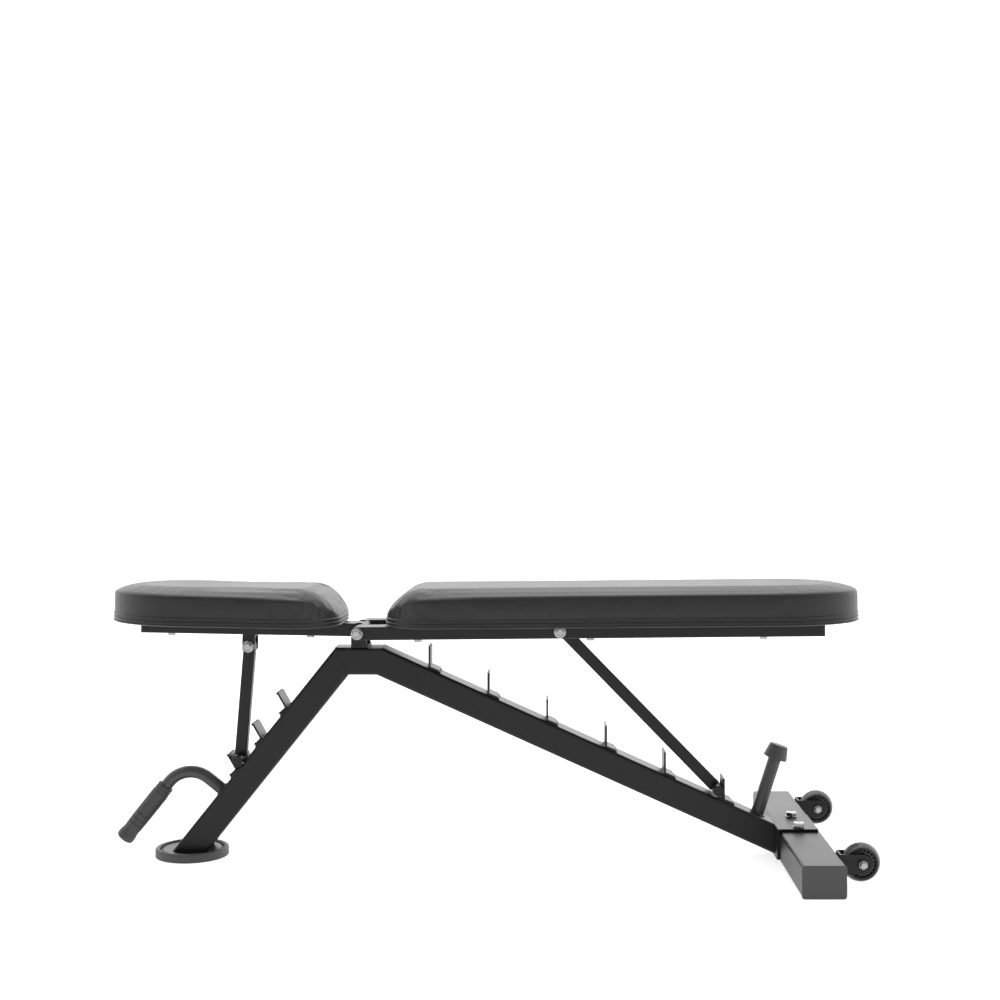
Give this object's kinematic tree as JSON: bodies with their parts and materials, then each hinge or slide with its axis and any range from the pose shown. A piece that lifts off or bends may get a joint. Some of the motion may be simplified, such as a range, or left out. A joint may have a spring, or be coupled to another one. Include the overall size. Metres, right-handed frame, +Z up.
{
  "type": "adjustable weight bench",
  "caption": "Padded weight bench with a flat to incline backrest and seat on ladder catches, a carry handle and transport wheels.",
  "frame": {"origin": "on the floor, under the middle of the overall length and width", "axes": "+X from the seat end to the wheel end, +Z up, +Y to the left of a person lying with the head at +X"},
  "size_m": [1.2781, 0.556, 0.4704],
  "materials": {
    "frame_steel": "satin black powder coat over steel",
    "zinc": "bright zinc plate",
    "bearing_steel": "ground steel with a rubber seal",
    "rubber": "matte moulded rubber",
    "grip_foam": "soft moulded grip",
    "cap_plastic": "fine textured black plastic",
    "wheel_tyre": "glossy black polyurethane",
    "wheel_hub": "moulded nylon",
    "vinyl": "black leatherette with stitched edge",
    "plywood": "birch plywood",
    "bush_nylon": "nylon"
  },
  "bodies": {
    "frame": {"apex_tube": "frame_steel", "back_catches": "frame_steel", "back_leg": "frame_steel", "bumper_cap": "rubber", "bumper_post": "frame_steel", "crossbar_end_cap_left": "cap_plastic", "crossbar_end_cap_right": "cap_plastic", "front_foot_cup": "rubber", "front_foot_plate": "frame_steel", "front_leg": "frame_steel", "handle_grip": "grip_foam", "handle_tube": "frame_steel", "left_wheel_bracket": "frame_steel", "pivot_bolt": "zinc", "pivot_bracket": "frame_steel", "pivot_nut": "zinc", "pivot_washers": "zinc", "rear_crossbar": "frame_steel", "rear_mount_plate": "frame_steel", "right_wheel_bracket": "frame_steel", "seat_catches": "frame_steel", "stabiliser_bolts": "zinc", "stabiliser_weld_nuts": "zinc", "wheel_axles": "zinc", "wheel_nuts": "zinc", "wheel_spacers": "zinc"},
    "seat": {"seat_beam": "frame_steel", "seat_beam_cap": "cap_plastic", "seat_board": "plywood", "seat_pad": "vinyl", "seat_pad_bolts": "zinc", "seat_sleeve": "frame_steel", "seat_strut_bolt": "zinc", "seat_strut_bracket": "frame_steel", "seat_strut_nut_and_washers": "zinc", "seat_tee_nuts": "zinc"},
    "backrest": {"back_board": "plywood", "back_cross_plates": "frame_steel", "back_pad": "vinyl", "back_pad_bolts": "zinc", "back_rail_caps": "cap_plastic", "back_rail_left": "frame_steel", "back_rail_right": "frame_steel", "back_sleeves": "frame_steel", "back_strut_bolt": "zinc", "back_strut_nut_and_washers": "zinc", "back_strut_spacers": "zinc", "back_tee_nuts": "zinc"},
    "seat_strut": {"seat_strut": "frame_steel", "seat_strut_bush": "bush_nylon", "seat_strut_foot_pin": "frame_steel"},
    "back_strut": {"back_strut": "frame_steel", "back_strut_bush": "bush_nylon", "back_strut_foot_pin": "frame_steel"},
    "left_wheel": {"left_wheel_bearings": "bearing_steel", "left_wheel_hub": "wheel_hub", "left_wheel_tyre": "wheel_tyre"},
    "right_wheel": {"right_wheel_bearings": "bearing_steel", "right_wheel_hub": "wheel_hub", "right_wheel_tyre": "wheel_tyre"}
  },
  "joints": [
    {"name": "seat_tilt", "type": "hinge", "parent": "frame", "child": "seat", "pos_m": [-0.2128, 0, 0.3895], "axis": [0, 1, 0], "range_deg": [0, 27.9]},
    {"name": "back_tilt", "type": "hinge", "parent": "frame", "child": "backrest", "pos_m": [-0.2128, 0, 0.3895], "axis": [0, -1, 0], "range_deg": [0, 59]},
    {"name": "seat_strut_swing", "type": "hinge", "parent": "seat", "child": "seat_strut", "pos_m": [-0.40756, 0, 0.36056], "axis": [0, 1, 0], "range_deg": [-30, 0]},
    {"name": "back_strut_swing", "type": "hinge", "parent": "backrest", "child": "back_strut", "pos_m": [0.12569, 0, 0.39245], "axis": [0, -1, 0], "range_deg": [-88, 0]},
    {"name": "left_wheel_spin", "type": "hinge", "parent": "frame", "child": "left_wheel", "pos_m": [0.6032, 0.2, 0.0385], "axis": [0, 1, 0], "continuous": true},
    {"name": "right_wheel_spin", "type": "hinge", "parent": "frame", "child": "right_wheel", "pos_m": [0.6032, -0.2, 0.0385], "axis": [0, 1, 0], "continuous": true}
  ],
  "couplings": [
    {"joint": "seat_strut_swing", "follows": "seat_tilt", "ratio": -1.05},
    {"joint": "back_strut_swing", "follows": "back_tilt", "ratio": -1.48}
  ]
}
